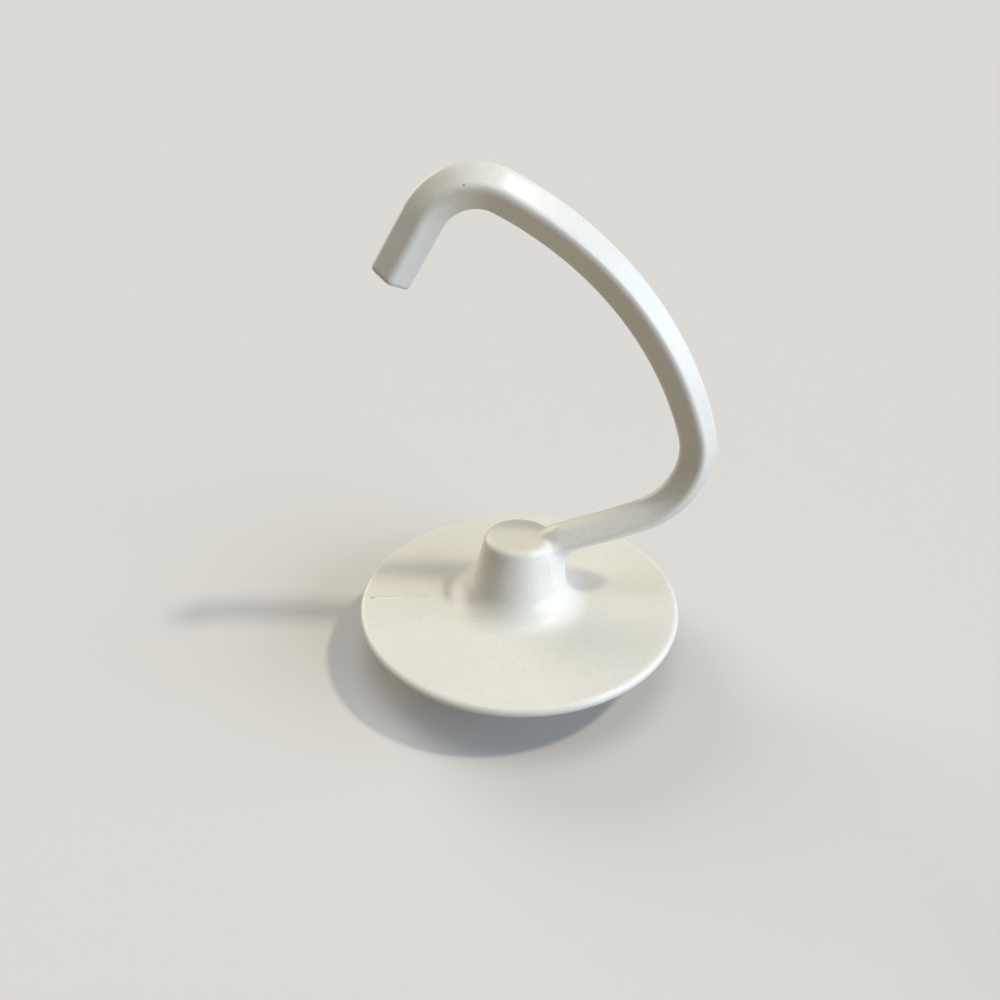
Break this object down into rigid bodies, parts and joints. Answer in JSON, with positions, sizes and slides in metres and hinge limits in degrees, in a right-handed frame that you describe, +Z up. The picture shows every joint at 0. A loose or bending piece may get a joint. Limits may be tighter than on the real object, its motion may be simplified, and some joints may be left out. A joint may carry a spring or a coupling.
{
  "type": "stand mixer dough hook",
  "caption": "C-shaped dough hook cast in one piece: a bent diamond-section bar on a tapered hub, with a round dough-stop disc and a slotted shaft sleeve below it.",
  "frame": {"origin": "centre of the sleeve's mouth, where the mixer's shaft goes in and on which the hook stands", "axes": "+Z runs up the bore towards the hub, and the bent bar lies in the XZ plane, on the +X side of the hub"},
  "size_m": [0.1067, 0.1, 0.147],
  "materials": {
    "coated_casting": "cream white baked coating over cast aluminium, satin, with a fine cast texture"
  },
  "bodies": {
    "root": {"dough_hook": "coated_casting"}
  },
  "joints": []
}
